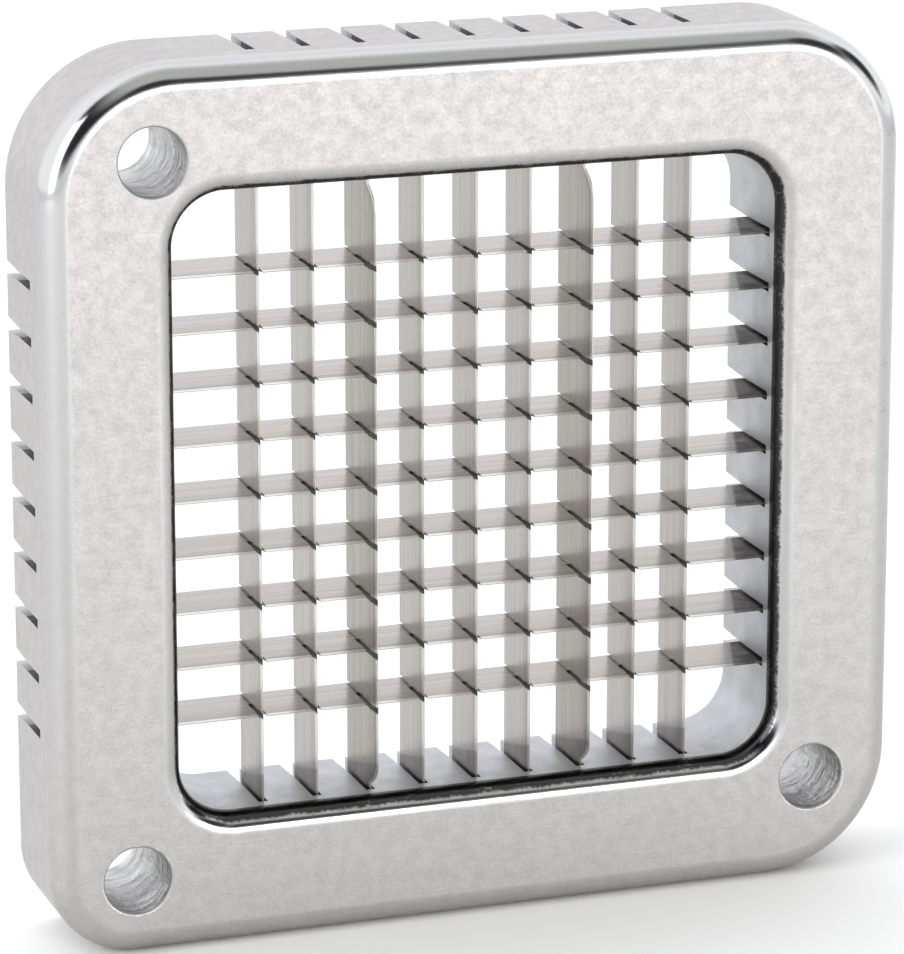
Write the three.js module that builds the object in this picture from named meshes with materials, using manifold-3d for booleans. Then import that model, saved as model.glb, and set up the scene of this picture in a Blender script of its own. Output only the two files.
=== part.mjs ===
// Blade cassette of a vegetable dicer: a cast square frame that holds two crossed sets of
// strip blades in slots cut from its back, and four rods that hold the blade ends down.
//
// Millimetres. +X is to the right, +Y points into the cassette from its front, +Z is up.
// The food comes in at the front, the -Y side. The origin is the middle of the bottom side.

import * as THREE from 'three';
import { mergeVertices } from 'three/addons/utils/BufferGeometryUtils.js';
import Module from 'manifold-3d';

// ---------------------------------------------------------------- driving dimensions

const FRAME_SIDE = 150.6;
const FRAME_DEPTH = 23;
const FRAME_CORNER_RADII = [22, 23, 14, 22]; // top right, top left, bottom left, bottom right
const FRONT_EDGE_RADIUS = 4.5;

const OPENING_SIDE = 106;
const OPENING_CORNER_RADIUS = 9;
const OPENING_OFFSET_Z = 0.5; // the opening is cast a little above the middle
const LIP_RADIUS = 3.4;

const BLADES_PER_SET = 9;
const BLADE_PITCH = 9.525;
const BLADE_THICKNESS = 0.6;
const BLADE_WIDTH = 12.1;
const BLADE_LENGTH = 133;
const BLADE_SETBACK = 5.9; // from the back of the frame to the back edge of a blade
const EDGE_GRIND = 2.2; // how far the ground faces run back from the cutting edge
const EDGE_THICKNESS = 0.1;
const GRID_OFFSET_X = 0.45; // the blade grid sits a little off the middle of the casting
const GRID_OFFSET_Z = 0.74;

const TALL_BLADES = [3, 7]; // these vertical blades stand proud and meet the food first
const TALL_RISE = 3.8;
const SHOULDER_INSET = 1.2; // from the opening's wall to where a tall blade starts to rise
const SHOULDER_LENGTH = 4.2;

const FIT_GAP = 0.3;
const NOTCH_GAP = 0.45; // beside a blade, where it passes through a crossing one
const SLOT_GAP = 0.5; // beside a blade, in the frame's slot

const SLOT_DEPTH_INSIDE = 18.4; // from the back face, where the blade ends sit
const SLOT_DEPTH_OUTSIDE = 13.9; // where the slot runs out through the outer face
const LEAD_IN_DEPTH = 7;
const LEAD_IN_WIDTH = 2.4;

const ROD_DIAMETER = 2.8;
const ROD_LENGTH = 88;
const ROD_LINE = 62.5; // from the middle of the frame to the middle of each rod

const POST_HOLE_DIAMETER = 11.5;
const POST_HOLES = [
  { x: -56.65, z: 59.44 },
  { x: -61.15, z: -62.06 },
  { x: 60.25, z: -57.36 },
];

// ---------------------------------------------------------------- worked-out sizes

const FRAME_MIDDLE_Z = FRAME_SIDE / 2;
const BACK_Y = FRAME_DEPTH / 2;
const BLADE_BACK_Y = BACK_Y - BLADE_SETBACK;
const SLOT_WIDTH = BLADE_THICKNESS + 2 * SLOT_GAP;
const NOTCH_WIDTH = BLADE_THICKNESS + 2 * NOTCH_GAP;
const LAP_DEPTH = BLADE_WIDTH / 2; // each blade keeps half its width where two blades cross
const PAST = 4; // how far a cutter runs past the face that it breaks through

// ---------------------------------------------------------------- solids

const wasm = await Module();
wasm.setup();

function toSolid(geometry) {
  const bare = geometry.clone();
  bare.deleteAttribute('normal');
  bare.deleteAttribute('uv');
  const merged = mergeVertices(bare, 1e-4);
  const vertProperties = new Float32Array(merged.attributes.position.array);
  const triVerts = new Uint32Array(merged.index.array);
  return new wasm.Manifold(new wasm.Mesh({ numProp: 3, vertProperties, triVerts }));
}

function toGeometry(solid) {
  const mesh = solid.getMesh();
  const geometry = new THREE.BufferGeometry();
  geometry.setAttribute('position', new THREE.BufferAttribute(mesh.vertProperties, 3));
  geometry.setIndex(new THREE.BufferAttribute(mesh.triVerts, 1));
  geometry.computeVertexNormals();
  return geometry;
}

function extrude(shape, depth, options = {}) {
  return new THREE.ExtrudeGeometry(shape, { depth, bevelEnabled: false, curveSegments: 10, ...options });
}

function box(sizeX, sizeY, sizeZ, x, y, z) {
  return new THREE.BoxGeometry(sizeX, sizeY, sizeZ).translate(x, y, z);
}

// Draws a square with round corners, in the order top right, top left, bottom left, bottom right.
function roundedSquare(side, radii, middleY = 0, path = new THREE.Shape()) {
  const corners = [[1, 1], [-1, 1], [-1, -1], [1, -1]];
  corners.forEach(([toX, toY], turn) => {
    const radius = radii[turn];
    const inner = side / 2 - radius;
    const start = (turn * Math.PI) / 2;
    path.absarc(toX * inner, middleY + toY * inner, radius, start, start + Math.PI / 2, false);
  });
  path.closePath();
  return path;
}

// ---------------------------------------------------------------- frame

// A round edge is an extrusion's bevel. Both ends of the extrusion get it, so it is made longer
// than the frame and its back end is trimmed off afterwards.
function roundFronted(shape, edgeRadius) {
  const straight = FRAME_DEPTH + PAST;
  const bevel = {
    bevelEnabled: true,
    bevelThickness: edgeRadius,
    bevelSize: edgeRadius,
    bevelSegments: 6,
  };
  const geometry = extrude(shape, straight, bevel);
  geometry.rotateX(Math.PI / 2); // the outline's y becomes z, and the far end faces -Y
  geometry.translate(0, straight + edgeRadius - BACK_Y, FRAME_MIDDLE_Z);
  return toSolid(geometry);
}

function frameBlank() {
  const outline = roundedSquare(
    FRAME_SIDE - 2 * FRONT_EDGE_RADIUS,
    FRAME_CORNER_RADII.map((radius) => radius - FRONT_EDGE_RADIUS),
  );
  const block = roundFronted(outline, FRONT_EDGE_RADIUS);

  const surround = roundedSquare(2 * FRAME_SIDE, FRAME_CORNER_RADII);
  const mouth = OPENING_SIDE + 2 * LIP_RADIUS;
  const mouthRadii = Array(4).fill(OPENING_CORNER_RADIUS + LIP_RADIUS);
  surround.holes.push(roundedSquare(mouth, mouthRadii, OPENING_OFFSET_Z, new THREE.Path()));
  const openedPlate = roundFronted(surround, LIP_RADIUS);

  const trim = 3 * PAST + FRONT_EDGE_RADIUS;
  const behind = toSolid(
    box(2 * FRAME_SIDE, trim, 2 * FRAME_SIDE, 0, BACK_Y + trim / 2, FRAME_MIDDLE_Z),
  );
  return block.intersect(openedPlate).subtract(behind);
}

// The slot for a horizontal blade at height 0: a saw cut right across the frame, deep where the
// blade ends sit and shallower where it runs out of the sides, with a V that leads the blade in.
function slotCutter() {
  const blade = BLADE_LENGTH / 2 + FIT_GAP;
  const side = FRAME_SIDE / 2;
  const back = BACK_Y + PAST;
  const deep = BACK_Y - SLOT_DEPTH_INSIDE;
  const shallow = BACK_Y - SLOT_DEPTH_OUTSIDE;

  const cut = new THREE.Shape();
  cut.moveTo(-side - PAST, back);
  cut.lineTo(-side - PAST, shallow);
  cut.lineTo(-side, shallow);
  cut.lineTo(-blade, deep);
  cut.lineTo(blade, deep);
  cut.lineTo(side, shallow);
  cut.lineTo(side + PAST, shallow);
  cut.lineTo(side + PAST, back);
  cut.closePath();
  const saw = extrude(cut, SLOT_WIDTH).translate(0, 0, -SLOT_WIDTH / 2);

  const slope = (LEAD_IN_WIDTH - SLOT_WIDTH) / 2 / LEAD_IN_DEPTH;
  const mouth = LEAD_IN_WIDTH / 2 + slope * PAST;
  const vee = new THREE.Shape();
  vee.moveTo(-mouth, BACK_Y + PAST);
  vee.lineTo(-SLOT_WIDTH / 2, BACK_Y - LEAD_IN_DEPTH);
  vee.lineTo(SLOT_WIDTH / 2, BACK_Y - LEAD_IN_DEPTH);
  vee.lineTo(mouth, BACK_Y + PAST);
  vee.closePath();
  const reach = FRAME_SIDE + 2 * PAST;
  const leadIn = extrude(vee, reach).translate(0, 0, -reach / 2).rotateY(Math.PI / 2);

  return toSolid(saw).add(toSolid(leadIn));
}

// The places of the nine blades of a set, counted from the left or from the top.
function bladePlaces() {
  const middle = (BLADES_PER_SET + 1) / 2;
  return Array.from({ length: BLADES_PER_SET }, (_, n) => ({
    number: n + 1,
    x: GRID_OFFSET_X + (n + 1 - middle) * BLADE_PITCH,
    z: FRAME_MIDDLE_Z + GRID_OFFSET_Z - (n + 1 - middle) * BLADE_PITCH,
  }));
}

// A rod lies in a channel in the back of each side of the frame, across the blade ends.
const RODS = [
  { name: 'retaining_rod_left', x: -ROD_LINE, z: GRID_OFFSET_Z, upright: true },
  { name: 'retaining_rod_right', x: ROD_LINE, z: GRID_OFFSET_Z, upright: true },
  { name: 'retaining_rod_top', x: GRID_OFFSET_X, z: ROD_LINE, upright: false },
  { name: 'retaining_rod_bottom', x: GRID_OFFSET_X, z: -ROD_LINE, upright: false },
];

function rodChannel(rod) {
  const width = ROD_DIAMETER + 2 * FIT_GAP;
  const length = ROD_LENGTH + 2 * FIT_GAP;
  const depth = BLADE_SETBACK + PAST;
  const sizeX = rod.upright ? width : length;
  const sizeZ = rod.upright ? length : width;
  return toSolid(
    box(sizeX, depth, sizeZ, rod.x, BLADE_BACK_Y + depth / 2, FRAME_MIDDLE_Z + rod.z),
  );
}

function postHole(place) {
  const radius = POST_HOLE_DIAMETER / 2;
  const drill = new THREE.CylinderGeometry(radius, radius, FRAME_DEPTH + 2 * PAST, 32);
  return toSolid(drill.translate(place.x, 0, FRAME_MIDDLE_Z + place.z));
}

function frameCasting() {
  const acrossSlot = slotCutter();
  const upSlot = acrossSlot.rotate([0, 90, 0]);
  let frame = frameBlank();
  for (const place of bladePlaces()) {
    frame = frame.subtract(acrossSlot.translate([0, 0, place.z]));
    frame = frame.subtract(upSlot.translate([place.x, 0, FRAME_MIDDLE_Z]));
  }
  RODS.forEach((rod) => {
    frame = frame.subtract(rodChannel(rod));
  });
  POST_HOLES.forEach((place) => {
    frame = frame.subtract(postHole(place));
  });
  return toGeometry(frame);
}

// ---------------------------------------------------------------- blades

// A blade lies along X here, its back edge on y = 0 and its cutting edge towards -Y, with its
// middle at the crossing of the grid. rise is how far a tall blade stands proud of the others.
// Only upright blades are tall, so the shoulders are set out from the middle of the opening.
function bladeOutline(startX, endX, rise) {
  const front = -BLADE_WIDTH;
  const wall = OPENING_SIDE / 2 - SHOULDER_INSET;
  const outline = new THREE.Shape();
  outline.moveTo(startX, 0);
  outline.lineTo(startX, front);
  if (rise > 0) {
    const middle = (startX + endX) / 2 + OPENING_OFFSET_Z;
    const first = middle - wall;
    const last = middle + wall;
    outline.lineTo(first, front);
    outline.quadraticCurveTo(first + SHOULDER_LENGTH / 2, front - rise, first + SHOULDER_LENGTH, front - rise);
    outline.lineTo(last - SHOULDER_LENGTH, front - rise);
    outline.quadraticCurveTo(last - SHOULDER_LENGTH / 2, front - rise, last, front);
  }
  outline.lineTo(endX, front);
  outline.lineTo(endX, 0);
  outline.closePath();
  return outline;
}

// The blade's section, ground from both faces down to the cutting edge.
function bladeSection(width) {
  const half = BLADE_THICKNESS / 2;
  const edge = EDGE_THICKNESS / 2;
  const section = new THREE.Shape();
  section.moveTo(-half, 0);
  section.lineTo(-half, EDGE_GRIND - width);
  section.lineTo(-edge, -width);
  section.lineTo(edge, -width);
  section.lineTo(half, EDGE_GRIND - width);
  section.lineTo(half, 0);
  section.closePath();
  return section;
}

// slotsFrom is 'front' for the horizontal blades and 'back' for the vertical ones, so that the
// two sets lap into each other at half their width.
function blade({ offset, slotsFrom, rise = 0 }) {
  const startX = -BLADE_LENGTH / 2 - offset;
  const endX = BLADE_LENGTH / 2 - offset;
  const width = BLADE_WIDTH + rise;
  const plate = extrude(bladeOutline(startX, endX, rise), BLADE_THICKNESS);
  plate.translate(0, 0, -BLADE_THICKNESS / 2);
  const ground = extrude(bladeSection(width), BLADE_LENGTH).rotateY(Math.PI / 2);
  ground.translate(startX, 0, 0);
  let solid = toSolid(plate).intersect(toSolid(ground));

  const clear = FIT_GAP / 2;
  const slot = { front: -LAP_DEPTH + clear, back: -LAP_DEPTH - clear }[slotsFrom];
  const towards = slotsFrom === 'front' ? -1 : 1;
  const depth = width + PAST;
  for (let n = 0; n < BLADES_PER_SET; n += 1) {
    const x = (n - (BLADES_PER_SET - 1) / 2) * BLADE_PITCH;
    const notch = box(NOTCH_WIDTH, depth, 2 * BLADE_THICKNESS, x, slot + (towards * depth) / 2, 0);
    solid = solid.subtract(toSolid(notch));
  }
  return toGeometry(solid);
}

function rodGeometry(rod) {
  const radius = ROD_DIAMETER / 2;
  const geometry = new THREE.CylinderGeometry(radius, radius, ROD_LENGTH, 16);
  return rod.upright ? geometry.rotateX(Math.PI / 2) : geometry.rotateZ(Math.PI / 2);
}

// ---------------------------------------------------------------- assembly

const castAluminium = { color: 0xc9c7c5, roughness: 0.42, metalness: 0.9 };
const bladeSteel = { color: 0xb5b1a9, roughness: 0.3, metalness: 1 };
const rodSteel = { color: 0xa9acb0, roughness: 0.25, metalness: 1 };

function named(name, geometry, finish) {
  const mesh = new THREE.Mesh(geometry, new THREE.MeshStandardMaterial(finish));
  mesh.name = name;
  return mesh;
}

const cassette = new THREE.Group();
cassette.name = 'blade_cassette';
cassette.add(named('frame_casting', frameCasting(), castAluminium));

for (const place of bladePlaces()) {
  const tall = TALL_BLADES.includes(place.number);
  const upright = named(
    `${tall ? 'tall_' : ''}vertical_blade_${place.number}`,
    blade({ offset: GRID_OFFSET_Z, slotsFrom: 'back', rise: tall ? TALL_RISE : 0 }),
    bladeSteel,
  );
  upright.rotation.y = -Math.PI / 2;
  upright.position.set(place.x, BLADE_BACK_Y, FRAME_MIDDLE_Z + GRID_OFFSET_Z);
  cassette.add(upright);

  const level = named(
    `horizontal_blade_${place.number}`,
    blade({ offset: GRID_OFFSET_X, slotsFrom: 'front' }),
    bladeSteel,
  );
  level.position.set(GRID_OFFSET_X, BLADE_BACK_Y, place.z);
  cassette.add(level);
}

RODS.forEach((rod) => {
  const mesh = named(rod.name, rodGeometry(rod), rodSteel);
  const y = BLADE_BACK_Y + FIT_GAP + ROD_DIAMETER / 2;
  mesh.position.set(rod.x, y, FRAME_MIDDLE_Z + rod.z);
  cassette.add(mesh);
});

export default cassette;
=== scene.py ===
"""Blade cassette of a vegetable dicer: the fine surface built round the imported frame.

The cassette is a cast aluminium frame that holds two crossed sets of strip blades in slots
sawn from its back, with four rods across the blade ends. Everything is in metres, in the
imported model's own frame: +X to the right, +Y from the front to the back, +Z up.
"""

import logging
import math
from dataclasses import dataclass, field, replace
from enum import Enum
from typing import ClassVar, Iterable

import bmesh
import bpy
from mathutils import Matrix, Vector


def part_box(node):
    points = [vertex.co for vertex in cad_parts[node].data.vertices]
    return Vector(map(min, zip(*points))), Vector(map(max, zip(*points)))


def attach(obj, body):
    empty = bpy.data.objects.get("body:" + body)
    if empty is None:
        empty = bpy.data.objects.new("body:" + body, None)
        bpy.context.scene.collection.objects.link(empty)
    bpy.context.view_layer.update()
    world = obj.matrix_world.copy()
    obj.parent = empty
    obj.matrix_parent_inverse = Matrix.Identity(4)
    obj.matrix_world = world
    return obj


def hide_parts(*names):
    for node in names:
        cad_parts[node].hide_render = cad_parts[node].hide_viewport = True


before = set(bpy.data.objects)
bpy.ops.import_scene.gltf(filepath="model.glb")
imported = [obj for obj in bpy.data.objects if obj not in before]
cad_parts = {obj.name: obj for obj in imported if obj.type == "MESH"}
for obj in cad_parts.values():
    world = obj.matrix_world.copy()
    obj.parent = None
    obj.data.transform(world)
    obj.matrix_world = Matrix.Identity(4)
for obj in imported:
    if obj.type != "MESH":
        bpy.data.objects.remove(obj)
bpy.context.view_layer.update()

log = logging.getLogger("cassette")

MM = 0.001
BODY = "cassette"
OPENING = 106 * MM
TOUCHING = 1e-6  # lengths that differ by less than this are the same
WELD_DISTANCE = 1e-7
CUT_DISTANCE = 1e-9
FLAT_FACE_WEIGHT = 90
SQUARE_TURN = 1.0  # a square edge turns by more than this, in radians

Colour = tuple[float, float, float]
Box = tuple[Vector, Vector]
BMesh = bmesh.types.BMesh
Object = bpy.types.Object
Material = bpy.types.Material
Socket = bpy.types.NodeSocket
Tree = bpy.types.NodeTree


# ---- mesh helpers


def finish_mesh(bm: BMesh, name: str) -> Object:
    """Turns a bmesh into an object at the origin, with its faces pointing out.

    Args:
        bm: The shape, which is freed.
        name: The new object's name.

    Returns:
        The object, linked to the scene.
    """
    bmesh.ops.remove_doubles(bm, verts=bm.verts, dist=WELD_DISTANCE)
    bmesh.ops.recalc_face_normals(bm, faces=bm.faces)
    mesh = bpy.data.meshes.new(name)
    bm.to_mesh(mesh)
    bm.free()
    obj = bpy.data.objects.new(name, mesh)
    bpy.context.scene.collection.objects.link(obj)
    return obj


def apply_modifiers(obj: Object) -> None:
    """Bakes an object's modifiers into its mesh."""
    depsgraph = bpy.context.evaluated_depsgraph_get()
    mesh = bpy.data.meshes.new_from_object(obj.evaluated_get(depsgraph))
    obj.modifiers.clear()
    obj.data = mesh
    mesh.name = obj.name


def cut_away(obj: Object, cutter: Object) -> None:
    """Cuts one closed mesh out of another and removes the cutter."""
    boolean = obj.modifiers.new("cut", "BOOLEAN")
    boolean.operation = "DIFFERENCE"
    boolean.solver = "EXACT"
    boolean.object = cutter
    apply_modifiers(obj)
    bpy.data.objects.remove(cutter)


def soften(obj: Object, width: float, segments: int, angle: float = 40.0) -> None:
    """Rounds an object's sharp edges and gives it smooth normals that keep flat faces flat.

    Args:
        obj: The object.
        width: The width of the rounding, in metres.
        segments: The number of strips in the rounding.
        angle: Edges that turn by more than this many degrees are rounded.
    """
    bevel = obj.modifiers.new("edge", "BEVEL")
    bevel.width = width
    bevel.segments = segments
    bevel.limit_method = "ANGLE"
    bevel.angle_limit = math.radians(angle)
    apply_modifiers(obj)
    obj.data.shade_smooth()
    obj.data.set_sharp_from_angle(angle=math.radians(angle))
    normals = obj.modifiers.new("flat faces", "WEIGHTED_NORMAL")
    normals.keep_sharp = True
    normals.weight = FLAT_FACE_WEIGHT
    apply_modifiers(obj)


def spans(box: Box) -> Vector:
    """Gives the three sizes of a box from its two corners."""
    return box[1] - box[0]


def middle(box: Box) -> Vector:
    """Gives the middle of a box from its two corners."""
    return (box[0] + box[1]) / 2


def sheet_of(
    x_range: tuple[float, float],
    y_range: tuple[float, float],
    x_cuts: Iterable[float] = (),
    y_cuts: Iterable[float] = (),
) -> BMesh:
    """Makes a flat rectangle in the XY plane, divided along straight lines.

    Args:
        x_range: Its lowest and highest x.
        y_range: Its lowest and highest y.
        x_cuts: The x of each line that runs along y.
        y_cuts: The y of each line that runs along x.

    Returns:
        The divided rectangle, at z = 0.
    """
    bm = bmesh.new()
    bmesh.ops.create_grid(bm, x_segments=1, y_segments=1, size=0.5)
    size = Vector((x_range[1] - x_range[0], y_range[1] - y_range[0], 1))
    place = Vector((sum(x_range) / 2, sum(y_range) / 2, 0))
    bmesh.ops.scale(bm, vec=size, verts=bm.verts)
    bmesh.ops.translate(bm, vec=place, verts=bm.verts)
    lines = [(Vector((x, 0, 0)), Vector((1, 0, 0))) for x in x_cuts]
    lines += [(Vector((0, y, 0)), Vector((0, 1, 0))) for y in y_cuts]
    for point, normal in lines:
        everything = [*bm.verts, *bm.edges, *bm.faces]
        bmesh.ops.bisect_plane(bm, geom=everything, plane_co=point, plane_no=normal, dist=CUT_DISTANCE)
    return bm


def thicken(bm: BMesh, thickness: float) -> None:
    """Gives a flat mesh in the XY plane a thickness, half to each side."""
    bmesh.ops.translate(bm, vec=(0, 0, -thickness / 2), verts=bm.verts)
    grown = bmesh.ops.extrude_face_region(bm, geom=bm.faces[:])["geom"]
    lifted = [part for part in grown if isinstance(part, bmesh.types.BMVert)]
    bmesh.ops.translate(bm, vec=(0, 0, thickness), verts=lifted)
    bmesh.ops.recalc_face_normals(bm, faces=bm.faces)


def round_off(bm: BMesh, parts: list, radius: float, segments: int, affect: str = "EDGES") -> None:
    """Rounds edges or corners of a mesh.

    Args:
        bm: The mesh.
        parts: The edges or vertices that are rounded.
        radius: The radius of the rounding.
        segments: The number of strips in it.
        affect: "EDGES" or "VERTICES".
    """
    bmesh.ops.bevel(
        bm,
        geom=parts,
        offset=radius,
        offset_type="OFFSET",
        segments=segments,
        profile=0.5,
        affect=affect,
        material=-1,
    )


def draw_out(
    bm: BMesh, ring: list, stations: list[tuple[float, float]], axis: Vector
) -> None:
    """Draws a ring of points out along Y into a closed round solid.

    Args:
        bm: The mesh that holds the ring.
        ring: The ring's points, at the first station.
        stations: The y and the radius of each ring along the solid.
        axis: A point on its axis.
    """
    edges = [edge for edge in bm.edges if all(vert in ring for vert in edge.verts)]
    bmesh.ops.contextual_create(bm, geom=edges)
    for (y, radius), (next_y, next_radius) in zip(stations, stations[1:]):
        grown = bmesh.ops.extrude_edge_only(bm, edges=edges)["geom"]
        verts = [part for part in grown if isinstance(part, bmesh.types.BMVert)]
        edges = [part for part in grown if isinstance(part, bmesh.types.BMEdge)]
        grow = Matrix.Diagonal((next_radius / radius, 1, next_radius / radius, 1))
        here, there = Matrix.Translation(axis), Matrix.Translation((0, next_y - y, 0))
        bmesh.ops.transform(bm, matrix=there @ here @ grow @ here.inverted(), verts=verts)
    bmesh.ops.contextual_create(bm, geom=edges)


def near(value: float, target: float, within: float = TOUCHING) -> bool:
    """Says whether two lengths are the same."""
    return abs(value - target) < within


def ramp(value: float, low: float, high: float) -> float:
    """Rises from 0 at the low value to 1 at the high one, and stays level past both."""
    return min(max((value - low) / (high - low), 0.0), 1.0)


def write_attribute(mesh: bpy.types.Mesh, name: str, domain: str, values: list[float]) -> None:
    """Stores a number for each point or face of a mesh, for its material to read."""
    mesh.attributes.new(name, "FLOAT", domain).data.foreach_set("value", values)


# ---- shader helpers


class Graph:
    """A node tree that is written as a list of steps."""

    def __init__(self, tree: Tree) -> None:
        """Takes over a node tree and empties it."""
        self.tree = tree
        tree.nodes.clear()

    def add(self, kind: str, inputs: dict | None = None, **settings: object) -> bpy.types.Node:
        """Adds a node.

        Args:
            kind: The node's type, such as "ShaderNodeMath".
            inputs: A value or an output socket for each named or numbered input.
            settings: The node's own properties.

        Returns:
            The node.
        """
        node = self.tree.nodes.new(kind)
        for name, value in settings.items():
            setattr(node, name, value)
        for key, value in (inputs or {}).items():
            if isinstance(value, Socket):
                self.tree.links.new(value, node.inputs[key])
            else:
                node.inputs[key].default_value = value
        return node

    def math(self, operation: str, *values: object) -> Socket:
        """Adds a Math node and gives its output."""
        return self.add("ShaderNodeMath", dict(enumerate(values)), operation=operation).outputs[0]

    def span(self, value: object, low: float, high: float, to: tuple = (0.0, 1.0)) -> object:
        """Spreads a value that lies between low and high over the range given by to."""
        inputs = {0: value, 1: low, 2: high, 3: to[0], 4: to[1]}
        return self.add("ShaderNodeMapRange", inputs).outputs[0]

    def mix(self, factor: object, first: object, second: object) -> Socket:
        """Adds a colour mix and gives its output."""
        inputs = {0: factor, 6: first, 7: second}
        return self.add("ShaderNodeMix", inputs, data_type="RGBA").outputs[2]

    def noise(self, vector: object, scale: object, detail: float = 2.0) -> Socket:
        """Adds a noise texture and gives its value."""
        inputs = {"Vector": vector, "Scale": scale, "Detail": detail}
        return self.add("ShaderNodeTexNoise", inputs).outputs[0]

    def stretch(self, vector: object, scale: tuple, turn: tuple = (0, 0, 0)) -> Socket:
        """Turns and stretches a pattern's coordinates."""
        inputs = {"Vector": vector, "Scale": scale, "Rotation": turn}
        return self.add("ShaderNodeMapping", inputs).outputs[0]

    def attribute(self, name: str) -> Socket:
        """Reads a number that the mesh carries for each point or face."""
        return self.add("ShaderNodeAttribute", attribute_name=name).outputs["Fac"]

    def group(self, tree: Tree, **inputs: object) -> bpy.types.bpy_prop_collection:
        """Adds a shared node group and gives its outputs."""
        return self.add("ShaderNodeGroup", inputs, node_tree=tree).outputs

    def relief(self, height: object, strength: float, distance: float) -> Socket:
        """Adds a bump, with its distance in metres, and gives the normal."""
        inputs = {"Height": height, "Strength": strength, "Distance": distance}
        return self.add("ShaderNodeBump", inputs).outputs[0]


def rgba(colour: Colour) -> tuple[float, float, float, float]:
    """Adds a full alpha to a colour."""
    return (*colour, 1.0)


def new_group(name: str, inputs: dict[str, float | None], outputs: Iterable[str]) -> tuple:
    """Starts a shader node group.

    Args:
        name: The group's name.
        inputs: Each input with its usual value, which is None for a vector.
        outputs: The names of the values that it gives.

    Returns:
        The group's graph, and what it is given, by the names of its inputs.
    """
    tree = bpy.data.node_groups.new(name, "ShaderNodeTree")
    for label, value in inputs.items():
        kind = "NodeSocketVector" if value is None else "NodeSocketFloat"
        socket = tree.interface.new_socket(label, in_out="INPUT", socket_type=kind)
        if value is not None:
            socket.default_value = value
    for label in outputs:
        tree.interface.new_socket(label, in_out="OUTPUT", socket_type="NodeSocketFloat")
    graph = Graph(tree)
    return graph, graph.add("NodeGroupInput").outputs


def mottle_group() -> Tree:
    """Builds the cloudy tone of tumbled metal: broad blotches with a fine grain over them."""
    usual = {"Vector": None, "Blotch": 150.0, "Grain": 1800.0}
    graph, given = new_group("mottle", usual, ["Tone"])
    broad = graph.span(graph.noise(given["Vector"], given["Blotch"], 4.0), 0.35, 0.65)
    fine = graph.span(graph.noise(given["Vector"], given["Grain"], 3.0), 0.3, 0.7)
    tone = graph.math("ADD", graph.math("MULTIPLY", broad, 0.45), graph.math("MULTIPLY", fine, 0.55))
    graph.add("NodeGroupOutput", {"Tone": tone})
    return graph.tree


def scratch_group() -> Tree:
    """Builds thin scratches that lie in several directions, as 1 on a scratch and 0 off it."""
    graph, given = new_group("scratches", {"Vector": None, "Amount": 0.5}, ["Mask"])
    total: object = 0.0
    for number, turn in enumerate((0.4, 1.3, 2.2, 2.9)):
        lines = graph.stretch(given["Vector"], (130.0, 800.0, 800.0), (0.0, turn, 0.3 * number))
        value = graph.noise(lines, 1.0 + 0.2 * number, 1.0)
        total = graph.math("ADD", total, graph.span(value, 0.66, 0.72))
    mask = graph.math("MULTIPLY", graph.math("MINIMUM", total, 1.0), given["Amount"])
    graph.add("NodeGroupOutput", {"Mask": mask})
    return graph.tree


def grain_group() -> Tree:
    """Builds the long lines that rolling or drawing leaves, along the X of its own vector."""
    graph, given = new_group("long grain", {"Vector": None, "Fineness": 1.0}, ["Tone", "Height"])
    coarse = graph.stretch(given["Vector"], (9.0, 900.0, 900.0))
    fine = graph.stretch(given["Vector"], (22.0, 4200.0, 4200.0))
    broad = graph.span(graph.noise(coarse, 1.0, 3.0), 0.3, 0.7)
    lines = graph.span(graph.noise(fine, given["Fineness"]), 0.3, 0.7)
    tone = graph.math("ADD", graph.math("MULTIPLY", broad, 0.5), graph.math("MULTIPLY", lines, 0.5))
    graph.add("NodeGroupOutput", {"Tone": tone, "Height": lines})
    return graph.tree


def crossing_shade_group() -> Tree:
    """Builds narrow bands of painted shade at every crossing, from the place along a blade."""
    usual = {"Vector": None, "Along": 0.0, "Pitch": 9.5 * MM, "Reach": 43 * MM, "Half Width": 0.5 * MM}
    graph, given = new_group("joints", usual, ["Mask"])
    turns = graph.math("DIVIDE", given["Along"], given["Pitch"])
    beside = graph.math("SUBTRACT", graph.math("FRACT", graph.math("ADD", turns, 0.5)), 0.5)
    away = graph.math("MULTIPLY", graph.math("ABSOLUTE", beside), given["Pitch"])
    ragged = graph.span(graph.noise(given["Vector"], 900.0), 0.3, 0.7, (0.8, 1.2))
    edge = graph.math("MULTIPLY", given["Half Width"], ragged)
    shade_band = graph.math("SUBTRACT", 1.25, graph.math("DIVIDE", away, edge))
    within = graph.math("LESS_THAN", graph.math("ABSOLUTE", given["Along"]), given["Reach"])
    mask = graph.math("MULTIPLY", graph.span(shade_band, 0.0, 0.4), within)
    graph.add("NodeGroupOutput", {"Mask": mask})
    return graph.tree


def wear_group() -> Tree:
    """Builds the mask of sharp edges that handling rubs bare, from the "worn" attribute."""
    graph, given = new_group("worn edges", {"Tone": 0.5}, ["Mask"])
    patchy = graph.span(given["Tone"], 0.3, 0.7, (0.4, 1.0))
    graph.add("NodeGroupOutput", {"Mask": graph.math("MULTIPLY", graph.attribute("worn"), patchy)})
    return graph.tree


class Groups:
    """The node groups that the finishes share, each built once."""

    def __init__(self) -> None:
        """Builds every group."""
        self.mottle = mottle_group()
        self.scratches = scratch_group()
        self.grain = grain_group()
        self.joints = crossing_shade_group()
        self.wear = wear_group()


# ---- finishes


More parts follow.
